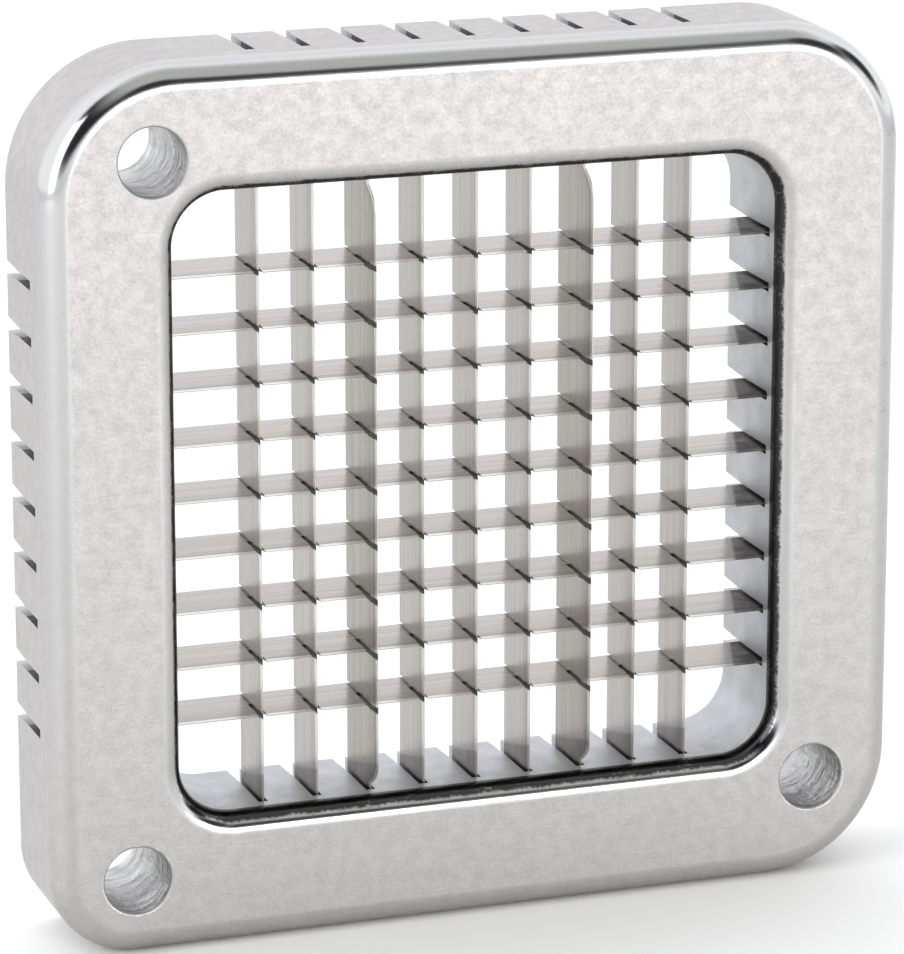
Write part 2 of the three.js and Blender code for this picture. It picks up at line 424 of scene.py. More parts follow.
@dataclass(frozen=True)
class Finish:
    """A bare metal surface, which each kind of finish paints in its own way."""

    name: str

    def paint(self, graph: Graph, groups: Groups, place: object) -> tuple:
        """Gives the surface's colour, roughness and normal.

        Args:
            graph: The material's graph.
            groups: The shared node groups.
            place: The object coordinates.

        Returns:
            The three output sockets.
        """
        raise NotImplementedError

    def make(self, groups: Groups) -> Material:
        """Builds the material from what the finish paints."""
        material = bpy.data.materials.new(self.name)
        material.use_nodes = True
        graph = Graph(material.node_tree)
        place = graph.add("ShaderNodeTexCoord").outputs["Object"]
        colour, roughness, normal = self.paint(graph, groups, place)
        inputs = {"Base Color": colour, "Metallic": 1.0, "Roughness": roughness, "Normal": normal}
        shader = graph.add("ShaderNodeBsdfPrincipled", inputs)
        graph.add("ShaderNodeOutputMaterial", {"Surface": shader.outputs[0]})
        return material


@dataclass(frozen=True)
class TumbledCasting(Finish):
    """Cast aluminium, tumbled to a cloudy satin, with its round edges rubbed bright."""

    name: str = "tumbled_casting"
    light: Colour = (0.5, 0.488, 0.481)
    dark: Colour = (0.436, 0.425, 0.418)
    rubbed: Colour = (0.5, 0.5, 0.505)
    worn: Colour = (0.78, 0.78, 0.78)
    # Near-black colour of the painted shade along the lip's inner edge and on the right outer
    # rounding.
    painted_shade: Colour = (0.035, 0.035, 0.037)
    satin: float = 0.5
    bright: float = 0.13
    blotch: float = 420.0
    grain: float = 2200.0
    scratched: float = 0.3

    def paint(self, graph: Graph, groups: Groups, place: object) -> tuple:
        """Paints clouds and scratches, then the "polish" that the mesh carries and the painted shade
        that it also carries.
        """
        tone = graph.group(groups.mottle, Vector=place, Blotch=self.blotch, Grain=self.grain)["Tone"]
        scratches = graph.group(groups.scratches, Vector=place, Amount=self.scratched)["Mask"]
        polish, painted_shade_mask = graph.attribute("polish"), graph.attribute("painted_shade_mask")
        cloudy = graph.mix(tone, rgba(self.dark), rgba(self.light))
        scored = graph.mix(graph.math("MULTIPLY", scratches, 0.35), cloudy, rgba(self.dark))
        smooth = graph.math("MULTIPLY", polish, 0.9)
        rubbed = graph.mix(smooth, scored, rgba(self.rubbed))
        ragged = graph.math("MULTIPLY", graph.math("SUBTRACT", tone, 0.5), 0.6)
        # Painted shade: darkens the colour towards near black where the mesh's shade attribute is
        # high, with a ragged edge.
        shade_strength = graph.span(graph.math("ADD", painted_shade_mask, ragged), 0.38, 0.85, (0.0, 0.96))
        faded = graph.math("MULTIPLY", shade_strength, graph.span(painted_shade_mask, 0.0, 0.33))
        shaded = graph.mix(faded, rubbed, rgba(self.painted_shade))
        colour = graph.mix(graph.group(groups.wear, Tone=tone)["Mask"], shaded, rgba(self.worn))
        rough = graph.span(tone, 0.0, 1.0, (self.satin + 0.08, self.satin - 0.06))
        smoothed = graph.math("MULTIPLY", graph.math("SUBTRACT", rough, self.bright), polish)
        height = graph.math("SUBTRACT", tone, scratches)
        level = graph.math("MULTIPLY", height, graph.math("SUBTRACT", 1.0, smooth))
        return colour, graph.math("SUBTRACT", rough, smoothed), graph.relief(level, 0.35, 0.06 * MM)


@dataclass(frozen=True)
class MachinedWall(Finish):
    """The duller metal of the opening's walls; a much darker copy paints shade in the sawn slots' deep
    parts.
    """

    name: str = "machined_wall"
    light: Colour = (0.5, 0.505, 0.52)
    dark: Colour = (0.447, 0.452, 0.467)
    worn: Colour = (0.72, 0.72, 0.73)
    roughness: float = 0.5
    blotch: float = 260.0
    grain: float = 2600.0

    def paint(self, graph: Graph, groups: Groups, place: object) -> tuple:
        """Paints an even mottle with worn edges."""
        tone = graph.group(groups.mottle, Vector=place, Blotch=self.blotch, Grain=self.grain)["Tone"]
        clean = graph.mix(tone, rgba(self.dark), rgba(self.light))
        colour = graph.mix(graph.group(groups.wear, Tone=tone)["Mask"], clean, rgba(self.worn))
        rough = graph.span(tone, 0.0, 1.0, (self.roughness + 0.08, self.roughness - 0.08))
        return colour, rough, graph.relief(tone, 0.4, 0.1 * MM)


@dataclass(frozen=True)
class DrilledBore(Finish):
    """The torn, scored wall that a coarse drill leaves in soft aluminium."""

    name: str = "drilled_bore"
    light: Colour = (0.66, 0.66, 0.65)
    dark: Colour = (0.36, 0.36, 0.36)
    ring_scale: tuple = (160.0, 700.0, 160.0)
    torn_scale: tuple = (420.0, 120.0, 420.0)

    def paint(self, graph: Graph, groups: Groups, place: object) -> tuple:
        """Paints the drill's rings, broken up where the metal tore."""
        rings = graph.stretch(place, self.ring_scale, (0.15, 0, 0.1))
        torn = graph.stretch(place, self.torn_scale, (0, 0.2, 0))
        ring_tone = graph.span(graph.noise(rings, 1.0, 4.0), 0.35, 0.65)
        torn_tone = graph.span(graph.noise(torn, 1.0, 5.0), 0.35, 0.62)
        tone = graph.math("MULTIPLY", ring_tone, torn_tone)
        colour = graph.mix(graph.math("POWER", tone, 0.6), rgba(self.dark), rgba(self.light))
        fine = graph.group(groups.mottle, Vector=place)["Tone"]
        return colour, graph.span(fine, 0.0, 1.0, (0.5, 0.3)), graph.relief(tone, 0.8, 0.4 * MM)


@dataclass(frozen=True)
class RolledSteel(Finish):
    """Stainless strip or wire with the long grain of rolling or drawing along it.

    Blades also have a grid. Their finish reads the mesh's "from_edge" attribute for the ground
    strip, and paints shade where they cross and where they end.
    """

    upright: bool
    grid: "Grid | None" = None
    light: Colour = (0.427, 0.407, 0.386)
    dark: Colour = (0.354, 0.335, 0.314)
    ground: Colour = (0.82, 0.79, 0.73)
    # Dark colour of the painted shade at the crossings and at the blade's far end.
    painted_shade: Colour = (0.05, 0.045, 0.04)
    whetted: float = 0.95 * MM
    whetted_fade: float = 0.25 * MM
    roughness: float = 0.27
    crossing_shade_strength: float = 0.0
    end_shade: float = 0.0
    end_reach: float = 4 * MM
    end_slant: float = 0.35

    def shaded(self, graph: Graph, groups: Groups, place: object) -> Socket:
        """Adds a mask that is 1 on the painted shade at the crossings and the blade's far end."""
        parts = graph.add("ShaderNodeSeparateXYZ", {0: place}).outputs
        along = parts["Z" if self.upright else "X"]
        centre = self.grid.middle.z if self.upright else self.grid.middle.x
        away = graph.math("SUBTRACT", along, centre)
        lines = {"Along": away, "Pitch": self.grid.pitch, "Reach": self.grid.reach}
        joints = graph.group(groups.joints, Vector=place, **lines)["Mask"]
        towards_end = graph.math("MULTIPLY", away, -1.0 if self.upright else 1.0)
        from_end = graph.math("SUBTRACT", self.grid.half_opening, towards_end)
        slanted = graph.math("ADD", from_end, graph.math("MULTIPLY", parts["Y"], self.end_slant))
        blotches = graph.span(graph.noise(place, 260.0, 3.0), 0.35, 0.65, (0.65, 1.0))
        # Painted shade along the blade's far end, where it runs into the wall.
        end_line = graph.span(slanted, 0.85 * self.end_reach, self.end_reach, (self.end_shade, 0.0))
        end = graph.math("MULTIPLY", end_line, blotches)
        return graph.math("MAXIMUM", graph.math("MULTIPLY", joints, self.crossing_shade_strength), end)

    def paint(self, graph: Graph, groups: Groups, place: object) -> tuple:
        """Paints the long grain and, on a blade, its ground edge and its painted shade."""
        lengthwise = graph.stretch(place, (1, 1, 1), (0, math.pi / 2 if self.upright else 0, 0))
        grain = graph.group(groups.grain, Vector=lengthwise)
        colour = graph.mix(grain["Tone"], rgba(self.dark), rgba(self.light))
        rough = graph.span(grain["Tone"], 0.0, 1.0, (self.roughness + 0.08, self.roughness - 0.05))
        if self.grid:
            begins = self.whetted - self.whetted_fade
            ground = graph.span(graph.attribute("from_edge"), begins, self.whetted, (1.0, 0.0))
            whetted = graph.mix(graph.math("MULTIPLY", ground, 0.9), colour, rgba(self.ground))
            shaded = self.shaded(graph, groups, place)
            colour = graph.mix(shaded, whetted, rgba(self.painted_shade))
            rough = graph.math("ADD", rough, graph.math("MULTIPLY", shaded, 0.25))
        return colour, rough, graph.relief(grain["Height"], 0.3, 0.04 * MM)


# ---- pieces


@dataclass
class Piece:
    """One physical piece of the cassette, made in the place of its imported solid."""

    SLOT: ClassVar[str]
    node: str
    body: str = field(default=BODY, kw_only=True)
    box: Box = field(init=False)
    piece: Object = field(init=False)

    def __post_init__(self) -> None:
        """Reads the piece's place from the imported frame."""
        self.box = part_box(self.node)

    def dress(self, finish: Material) -> None:
        """Gives the whole piece one finish."""
        self.piece.data.materials.clear()
        self.piece.data.materials.append(finish)

    def place(self) -> None:
        """Fixes the piece to its body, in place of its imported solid, and logs its size."""
        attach(self.piece, self.body)
        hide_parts(self.node)
        size = [round(side / MM, 1) for side in self.piece.dimensions]
        log.info("%s: %d faces, %s mm", self.node, len(self.piece.data.polygons), size)


# ---- frame casting


class Corner(Enum):
    """A corner of the frame, as the signs of its x and z."""

    TOP_RIGHT = (1, 1)
    TOP_LEFT = (-1, 1)
    BOTTOM_LEFT = (-1, -1)
    BOTTOM_RIGHT = (1, -1)

    @classmethod
    def nearest(cls, x: float, z: float) -> "Corner":
        """Gives the corner that a place, measured from the middle, is nearest to."""
        return cls((1 if x >= 0 else -1, 1 if z >= 0 else -1))


def rounded_square(side: float, radii: dict[Corner, float], segments: int) -> BMesh:
    """Makes the outline of a square with round corners, in the XY plane.

    Args:
        side: The square's width.
        radii: The radius of each corner.
        segments: The number of edges in each corner.

    Returns:
        The outline, without a face.
    """
    bm = bmesh.new()
    bmesh.ops.create_grid(bm, x_segments=1, y_segments=1, size=side / 2)
    for corner, radius in radii.items():
        spot = Vector((*corner.value, 0)) * side / 2
        found = [vert for vert in bm.verts if (vert.co - spot).length < TOUCHING]
        round_off(bm, found, radius, segments, "VERTICES")
    bmesh.ops.delete(bm, geom=bm.faces[:], context="FACES_ONLY")
    return bm


def merge_in(bm: BMesh, other: BMesh) -> None:
    """Adds a second mesh to a first one and frees the second."""
    scratch = bpy.data.meshes.new("scratch")
    other.to_mesh(scratch)
    other.free()
    bm.from_mesh(scratch)
    bpy.data.meshes.remove(scratch)


class Surface(Enum):
    """The kinds of surface on the casting, with the numbers of their material slots."""

    SKIN = 0
    WALL = 1
    BORE = 2
    SLOT = 3


@dataclass
class Casting(Piece):
    """The cast square frame, with its slots, rod channels and post holes.

    The holes are placed from the frame's middle. The polished bands run between two heights
    over or under the middle, in halves of the frame's height.
    """

    SLOT = "cast_aluminium"
    node: str = "frame_casting"
    corner_radii: dict[Corner, float] = field(
        default_factory=lambda: dict(zip(Corner, (22 * MM, 23 * MM, 14 * MM, 22 * MM)))
    )
    front_radius: float = 4.5 * MM
    opening: float = OPENING
    opening_radius: float = 9 * MM
    opening_rise: float = 0.5 * MM
    lip_radius: float = 3.4 * MM
    corner_segments: int = 22
    edge_segments: int = 10
    fit_gap: float = 0.3 * MM
    slot_gap: float = 0.5 * MM
    slot_inside: float = 18.4 * MM
    slot_outside: float = 13.9 * MM
    lead_in_depth: float = 7 * MM
    lead_in_width: float = 2.4 * MM
    slot_end_roundness: float = 0.46
    slot_end_segments: int = 5
    hole_diameter: float = 11.5 * MM
    hole_segments: int = 64
    hole_tolerance: float = 0.01 * MM
    hole_rim: float = 0.45 * MM
    rim_segments: int = 5
    holes: tuple = ((-56.65 * MM, 59.44 * MM), (-61.15 * MM, -62.06 * MM), (60.25 * MM, -57.36 * MM))
    sharp_edge: float = 0.18 * MM
    sharp_edge_segments: int = 2
    worn_angle: float = 20.0
    past: float = 4 * MM
    polished_top: tuple[float, float] = (0.433, 0.6)
    polished_base: tuple[float, float] = (0.333, 0.667)
    # Painted shade: a near-black line along the lip's inner edge, and a weaker band on the right outer
    # rounding.
    lip_shade_depth: float = 1.15
    lip_shade_below: float = 0.4
    lip_shade_elsewhere: float = 0.28
    lip_shade_steepness: float = 2.8
    most_shade: float = 0.97
    rim_shade: float = 0.3

    def ring(self) -> Object:
        """Makes the frame with its opening and round front edges, before it is cut."""
        size = spans(self.box)
        bm = rounded_square(size.x, self.corner_radii, self.corner_segments)
        inner_radii = dict.fromkeys(Corner, self.opening_radius)
        inner = rounded_square(self.opening, inner_radii, self.corner_segments)
        bmesh.ops.translate(inner, vec=(0, self.opening_rise, 0), verts=inner.verts)
        merge_in(bm, inner)
        bmesh.ops.bridge_loops(bm, edges=bm.edges[:])
        grown = bmesh.ops.extrude_face_region(bm, geom=bm.faces[:])["geom"]
        lifted = [part for part in grown if isinstance(part, bmesh.types.BMVert)]
        bmesh.ops.translate(bm, vec=(0, 0, size.y), verts=lifted)
        bmesh.ops.recalc_face_normals(bm, faces=bm.faces)
        upright = Matrix.Rotation(math.pi / 2, 4, "X")
        bmesh.ops.transform(bm, matrix=upright, verts=bm.verts)
        centre = middle(self.box)
        bmesh.ops.translate(bm, vec=(centre.x, self.box[1].y, centre.z), verts=bm.verts)
        self.round_front(bm, True, self.front_radius)
        self.round_front(bm, False, self.lip_radius)
        return finish_mesh(bm, f"{self.node}_fine")

    def round_front(self, bm: BMesh, outer: bool, radius: float) -> None:
        """Rounds one of the two outlines of the front face.

        Args:
            bm: The frame.
            outer: True for the frame's own outline, False for the opening's.
            radius: The radius of the rounding.
        """
        centre = middle(self.box)
        front = self.box[0].y
        edges = []
        for edge in bm.edges:
            flat = all(near(v.co.y, front) for v in edge.verts)
            turned = abs(edge.calc_face_angle(0)) > SQUARE_TURN
            spot = sum((v.co for v in edge.verts), Vector()) / 2 - centre
            if flat and turned and (self.from_side(spot) < self.sharp_edge) == outer:
                edges.append(edge)
        round_off(bm, edges, radius, self.edge_segments)

    def slot_cutters(
        self, places: list[Vector], thickness: float, reach: float, upright: bool
    ) -> Object:
        """Makes the saw cuts for one set of blades, each with a V at the back that leads it in.

        Args:
            places: The middle of each blade.
            thickness: The thickness of a blade.
            reach: Half the length of a blade.
            upright: True for the vertical blades.

        Returns:
            The cutters, as one object.
        """
        back = self.box[1].y
        side = spans(self.box).x / 2
        deep = back - self.slot_inside
        seat, rim = reach + self.slot_gap, side + self.slot_gap
        stations = (-rim, -seat, seat, rim)
        x_range, y_range = (-side - self.past, side + self.past), (deep, back + self.past)
        width = thickness + 2 * self.slot_gap
        flare = (self.lead_in_width - width) / 2 / self.lead_in_depth
        turn = Matrix.Rotation(-math.pi / 2, 4, "Y") if upright else Matrix.Identity(4)
        centre = middle(self.box)
        bm = bmesh.new()
        for place in places:
            plate = sheet_of(x_range, y_range, stations, (back - self.lead_in_depth,))
            thicken(plate, width)
            for vert in plate.verts:
                if near(vert.co.y, deep) and abs(vert.co.x) > side - self.slot_gap:
                    vert.co.y = back - self.slot_outside
                if vert.co.y > back:
                    vert.co.z += math.copysign(flare * (self.lead_in_depth + self.past), vert.co.z)
            spot = Vector((place.x, 0, centre.z)) if upright else Vector((centre.x, 0, place.z))
            ends = [edge for edge in plate.edges if self.ends_slot(edge, back)]
            round_off(plate, ends, width * self.slot_end_roundness, self.slot_end_segments)
            bmesh.ops.transform(plate, matrix=Matrix.Translation(spot) @ turn, verts=plate.verts)
            merge_in(bm, plate)
        return finish_mesh(bm, "slot_cutters")

    def ends_slot(self, edge: bmesh.types.BMEdge, back: float) -> bool:
        """Says whether an edge of a flat cutter runs along the closed end of its slot."""
        near_end = all(vert.co.y < back - self.lead_in_depth - self.slot_gap for vert in edge.verts)
        lengthwise = abs(edge.verts[0].co.x - edge.verts[1].co.x) > self.slot_gap
        return near_end and lengthwise

    def channel_cutters(self, rods: list["Rod"]) -> Object:
        """Makes the channels in the back of the frame that the rods lie in."""
        bm = bmesh.new()
        for rod in rods:
            low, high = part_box(rod.node)
            low = low - Vector((self.fit_gap, self.fit_gap, self.fit_gap))
            high = Vector((high.x + self.fit_gap, self.box[1].y + self.past, high.z + self.fit_gap))
            cube = bmesh.ops.create_cube(bm, size=1.0)["verts"]
            bmesh.ops.scale(bm, vec=high - low, verts=cube)
            bmesh.ops.translate(bm, vec=(low + high) / 2, verts=cube)
        return finish_mesh(bm, "channel_cutters")

    def hole_cutters(self) -> Object:
        """Makes the drills for the three post holes."""
        bm = bmesh.new()
        centre = middle(self.box)
        stations = self.hole_stations()
        start, radius = stations[0]
        for x, z in self.holes:
            spot = Matrix.Translation((centre.x + x, 0, centre.z + z))
            turn = spot @ Matrix.Rotation(math.pi / 2, 4, "X")
            ring = bmesh.ops.create_circle(
                bm, segments=self.hole_segments, radius=radius, matrix=turn
            )["verts"]
            bmesh.ops.translate(bm, vec=(0, start, 0), verts=ring)
            draw_out(bm, ring, stations, spot.translation)
        return finish_mesh(bm, "hole_cutters")

    def hole_stations(self) -> list[tuple[float, float]]:
        """Gives the y and radius of each ring of a post hole's cutter, flared at both faces."""
        radius, rim = self.hole_diameter / 2, self.hole_rim
        flare = []
        for number in range(self.rim_segments + 1):
            turn = math.pi / 2 * number / self.rim_segments
            flare.append((rim * (1 - math.cos(turn)), radius + rim * (1 - math.sin(turn))))
        front, back = self.box[0].y, self.box[1].y
        rings = [(front - self.past, radius + rim)]
        rings += [(front + depth, reach) for depth, reach in flare]
        rings += [(back - depth, reach) for depth, reach in reversed(flare)]
        return rings + [(back + self.past, radius + rim)]

    def build(self, blades: list["Blade"], rods: list["Rod"]) -> None:
        """Makes the casting.

        Args:
            blades: The blades that its slots hold.
            rods: The rods that lie in its channels.
        """
        self.piece = self.ring()
        for upright in (True, False):
            group = [blade for blade in blades if blade.upright == upright]
            places = [blade.middle for blade in group]
            first = group[0]
            cutter = self.slot_cutters(places, first.thickness, first.length / 2, upright)
            cut_away(self.piece, cutter)
        cut_away(self.piece, self.channel_cutters(rods))
        cut_away(self.piece, self.hole_cutters())
        soften(self.piece, self.sharp_edge, self.sharp_edge_segments)
        self.mark_wear_and_shade()
        self.mark_sharp_edges()

    def mark_wear_and_shade(self) -> None:
        """Marks the upper edge and lower lip, rubbed bright, and the painted shade at the lip and
        right rim.
        """
        mesh = self.piece.data
        centre = middle(self.box)
        polish, painted_shade_mask = [], []
        for vert in mesh.vertices:
            spot = vert.co - centre
            behind = vert.co.y - self.box[0].y
            height = spot.z / (spans(self.box).z / 2)
            outer = self.rounding(behind / self.front_radius, self.from_side(spot) / self.front_radius)
            lip = self.rounding(behind / self.lip_radius, self.from_wall(spot) / self.lip_radius)
            top, base = ramp(height, *self.polished_top), ramp(-height, *self.polished_base)
            polish.append(max(outer * top, lip * base))
            painted_shade_mask.append(self.painted_shade_at(spot, behind))
        write_attribute(mesh, "polish", "POINT", polish)
        write_attribute(mesh, "painted_shade_mask", "POINT", painted_shade_mask)

    def mark_sharp_edges(self) -> None:
        """Marks the narrow strips that round the sharp edges, which handling wears."""
        bm = bmesh.new()
        bm.from_mesh(self.piece.data)
        least = math.radians(self.worn_angle)
        worn = []
        for face in bm.faces:
            longest = max(edge.calc_length() for edge in face.edges)
            turned = any(edge.calc_face_angle(0) > least for edge in face.edges)
            worn.append(1.0 if turned and face.calc_area() < longest * self.sharp_edge else 0.0)
        bm.free()
        write_attribute(self.piece.data, "worn", "FACE", worn)

    def painted_shade_at(self, spot: Vector, behind: float) -> float:
        """Says how much painted shade a point of the casting's front gets.

        Args:
            spot: The point, from the frame's middle.
            behind: Its distance behind the front face.

        Returns:
            Near 1 on the inner half of the lip, lower on the frame's right edge, 0 elsewhere.
        """
        from_wall = self.from_wall(spot)
        deepest = self.lip_shade_depth * self.lip_radius
        if -self.fit_gap < from_wall < self.lip_radius and behind < deepest:
            half = self.opening / 2
            below = ramp(-spot.z / half, 0.5, 1.0)
            beside = (1 - below) * max(-spot.x / half, spot.z / half, 0)
            spread = self.lip_shade_below * below + self.lip_shade_elsewhere * beside
            painted_shade = self.lip_shade_steepness * ((behind - from_wall) / self.lip_radius + spread)
            return min(max(painted_shade, 0.0), self.most_shade)
        # Painted shade on the right outer rounding, stronger towards the right.
        radius = self.front_radius
        rim = self.rounding(behind / radius, self.from_side(spot) / radius)
        return self.rim_shade * rim * max(spot.x / (spans(self.box).x / 2), 0.0)

    def from_side(self, spot: Vector) -> float:
        """Gives how far inside the frame's outline a point lies, measured from the middle."""
        radius = self.corner_radii[Corner.nearest(spot.x, spot.z)]
        inner = spans(self.box).x / 2 - radius
        return radius - math.hypot(max(abs(spot.x) - inner, 0), max(abs(spot.z) - inner, 0))

    def from_wall(self, spot: Vector) -> float:
        """Gives how far outside the opening's wall a point lies, measured from the middle."""
        core = self.opening / 2 - self.opening_radius
        past_x = max(abs(spot.x) - core, 0)
        past_z = max(abs(spot.z - self.opening_rise) - core, 0)
        return math.hypot(past_x, past_z) - self.opening_radius

    @staticmethod
    def rounding(
        behind: float, beside: float, edge_fade: float = 0.2, tolerance: float = 0.01
    ) -> float:
        """Says whether a point is on a round edge.

        Args:
            behind: Its distance behind the front face, in edge radii.
            beside: Its distance from the side face, in edge radii.
            edge_fade: The part of the radius over which the edge ends.
            tolerance: How far in front of or beside the edge still counts, in edge radii.

        Returns:
            1 on the edge, falling to 0 where either flat face begins.
        """
        if min(behind, beside) <= -tolerance:
            return 0.0
        return ramp(1 - max(behind, beside), 0.0, edge_fade)

    def surface_of(self, face: bpy.types.MeshPolygon) -> Surface:
        """Says what kind of surface a face of the casting belongs to."""
        spot = face.center - middle(self.box)
        bore = self.hole_diameter / 2 + self.hole_tolerance
        in_hole = any(math.hypot(spot.x - x, spot.z - z) < bore for x, z in self.holes)
        if in_hole and abs(face.normal.y) < 0.5:
            return Surface.BORE
        behind_lip = face.center.y > self.box[0].y + self.lip_radius
        at_back = near(face.center.y, self.box[1].y, self.sharp_edge)
        if at_back or not behind_lip or self.from_side(spot) <= self.fit_gap:
            return Surface.SKIN
        # Deep slot faces take the slots' painted shade; the lead-in V keeps the wall's finish.
        led_in = face.center.y > self.box[1].y - self.lead_in_depth
        return Surface.WALL if led_in or self.from_wall(spot) < self.fit_gap else Surface.SLOT

    def dress(self, finishes: dict[Surface, Material]) -> None:
        """Gives each face of the casting its finish."""
        mesh = self.piece.data
        mesh.materials.clear()
        for surface in Surface:
            mesh.materials.append(finishes[surface])
        for face in mesh.polygons:
            face.material_index = self.surface_of(face).value


# ---- blades


class SlotSide(Enum):
    """The side of a blade that its crossing slots open to."""

    FRONT = -1
    BACK = 1


@dataclass
class Blade(Piece):
    """One strip blade, ground to an edge at the front and slotted where it crosses others."""

    SLOT = "blade_steel"
    upright: bool
    tall: bool = False
    ground: float = 2.2 * MM
    edge: float = 0.1 * MM
    notch_gap: float = 0.45 * MM
    lap_gap: float = 0.3 * MM
    standard_width: float = 12.1 * MM
    shoulder_inset: float = 1.2 * MM
    shoulder_length: float = 4.2 * MM
    shoulder_steps: int = 8
    opening: float = OPENING
    burr: float = 0.05 * MM
    burr_angle: float = 30.0

    @property
    def middle(self) -> Vector:
        """The middle of the blade's box."""
        return middle(self.box)

    @property
    def length(self) -> float:
        """The blade's length."""
        return spans(self.box).z if self.upright else spans(self.box).x

    @property
    def thickness(self) -> float:
        """The blade's thickness."""
        return spans(self.box).x if self.upright else spans(self.box).z

    @property
    def slot_side(self) -> SlotSide:
        """The side that the crossing slots open to."""
        return SlotSide.BACK if self.upright else SlotSide.FRONT

    def along(self, point: Vector) -> float:
        """Gives a point's place along the blade, from its middle."""
        offset = point - self.middle
        return offset.z if self.upright else offset.x

    def rise_at(self, x: float, opening_middle: float) -> float:
        """Gives how far a tall blade stands proud at a place along it.

        Args:
            x: The place, from the blade's middle.
            opening_middle: The place of the opening's middle.

        Returns:
            The rise, in metres, and 0 on a standard blade.
        """
        if not self.tall:
            return 0.0
        from_wall = self.opening / 2 - self.shoulder_inset - abs(x - opening_middle)
        climb = ramp(from_wall, 0.0, self.shoulder_length)
        return (spans(self.box).y - self.standard_width) * (1 - (1 - climb) ** 2)

    def build(self, crossings: list[Vector], thickness: float, opening_middle: Vector) -> None:
        """Makes the blade.

        Args:
            crossings: The middle of each blade that it crosses.
            thickness: The thickness of those blades.
            opening_middle: The middle of the opening.
        """
        half = thickness / 2 + self.notch_gap
        notches = [(self.along(c) - half, self.along(c) + half) for c in crossings]
        back = 0.0
        front = -self.standard_width
        grind = front + self.ground
        lap = -self.standard_width / 2 - self.slot_side.value * self.lap_gap / 2
        centre = self.along(opening_middle)
        cuts = [x for pair in notches for x in pair]
        if self.tall:
            wall = self.opening / 2 - self.shoulder_inset
            for step in range(self.shoulder_steps + 1):
                reach = wall - self.shoulder_length * step / self.shoulder_steps
                cuts += [centre - reach, centre + reach]
        ends = (-self.length / 2, self.length / 2)
        bm = sheet_of(ends, (front, back), cuts, (grind, lap))
        self.cut_notches(bm, notches, lap)
        thicken(bm, self.thickness)
        for vert in bm.verts:
            if near(vert.co.y, front):
                vert.co.z = math.copysign(self.edge / 2, vert.co.z)
            if vert.co.y < grind + TOUCHING:
                vert.co.y -= self.rise_at(vert.co.x, centre)
        turn = Matrix.Rotation(-math.pi / 2, 4, "Y") if self.upright else Matrix.Identity(4)
        spot = Vector((self.middle.x, self.box[1].y, self.middle.z))
        bmesh.ops.transform(bm, matrix=Matrix.Translation(spot) @ turn, verts=bm.verts)
        self.piece = finish_mesh(bm, f"{self.node}_fine")
        soften(self.piece, self.burr, 1, self.burr_angle)
        self.mark_edge(centre)

    def mark_edge(self, centre: float) -> None:
        """Stores each point's distance from the cutting edge, given the opening's middle."""
        front = self.box[1].y - self.standard_width
        points = [vert.co for vert in self.piece.data.vertices]
        depths = [point.y - front + self.rise_at(self.along(point), centre) for point in points]
        write_attribute(self.piece.data, "from_edge", "POINT", depths)

    def cut_notches(self, bm: BMesh, notches: list[tuple[float, float]], lap: float) -> None:
        """Opens the crossing slots in the flat blade.

        Args:
            bm: The flat blade, already divided along the slots' edges.
            notches: The lowest and highest x of each slot.
            lap: The y of the slots' closed ends.
        """
        gone = []
        for face in bm.faces:
            spot = face.calc_center_median()
            within = any(low < spot.x < high for low, high in notches)
            if within and (spot.y - lap) * self.slot_side.value > 0:
                gone.append(face)
        bmesh.ops.delete(bm, geom=gone, context="FACES")


@dataclass(frozen=True)
class Grid:
    """The places of the crossings in the blade grid, and where the blades end at the opening."""

    middle: Vector
    pitch: float
    reach: float
    half_opening: float

    @classmethod
    def of(cls, blades: list[Blade], opening: float) -> "Grid":
        """Reads the grid from all the blades, with the width of the opening that they cross."""
        across = sorted(blade.middle.x for blade in blades if blade.upright)
        up = sorted(blade.middle.z for blade in blades if not blade.upright)
        centre = Vector((sum(across) / len(across), 0, sum(up) / len(up)))
        pitch = (across[-1] - across[0]) / (len(across) - 1)
        return cls(centre, pitch, len(across) / 2 * pitch, opening / 2)


# ---- rods


@dataclass
class Rod(Piece):
    """A wire that lies across the ends of one set of blades and holds them down."""

    SLOT = "rod_steel"
    upright: bool
    end_radius: float = 0.35 * MM
    end_segments: int = 4
    sides: int = 32
    smooth_angle: float = 50.0

    def build(self) -> None:
        """Makes the rod, with its ends rounded."""
        size = spans(self.box)
        length = size.z if self.upright else size.x
        turn = Matrix.Identity(4) if self.upright else Matrix.Rotation(math.pi / 2, 4, "Y")
        radius = size.y / 2
        bm = bmesh.new()
        bmesh.ops.create_cone(
            bm, cap_ends=True, segments=self.sides, radius1=radius, radius2=radius, depth=length
        )
        rims = [edge for edge in bm.edges if abs(edge.calc_face_angle(0)) > SQUARE_TURN]
        round_off(bm, rims, self.end_radius, self.end_segments)
        bmesh.ops.transform(bm, matrix=Matrix.Translation(middle(self.box)) @ turn, verts=bm.verts)
        self.piece = finish_mesh(bm, f"{self.node}_fine")
        self.piece.data.shade_smooth()
        self.piece.data.set_sharp_from_angle(angle=math.radians(self.smooth_angle))


# ---- studio


def direction(azimuth: float, elevation: float) -> Vector:
    """Gives the way out at an azimuth from the front, towards +X, and an elevation, in degrees."""
    around, above = math.radians(azimuth), math.radians(elevation)
    return Vector(
        (math.sin(around) * math.cos(above), -math.cos(around) * math.cos(above), math.sin(above))
    )


def set_up(name: str, data: bpy.types.ID, target: Vector, away: Vector, distance: float) -> Object:
    """Places a lamp or a camera at a distance from its target, turned to it."""
    held = bpy.data.objects.new(name, data)
    held.location = target + away * distance
    held.rotation_euler = (-away).to_track_quat("-Z", "Y").to_euler()
    bpy.context.scene.collection.objects.link(held)
    return held


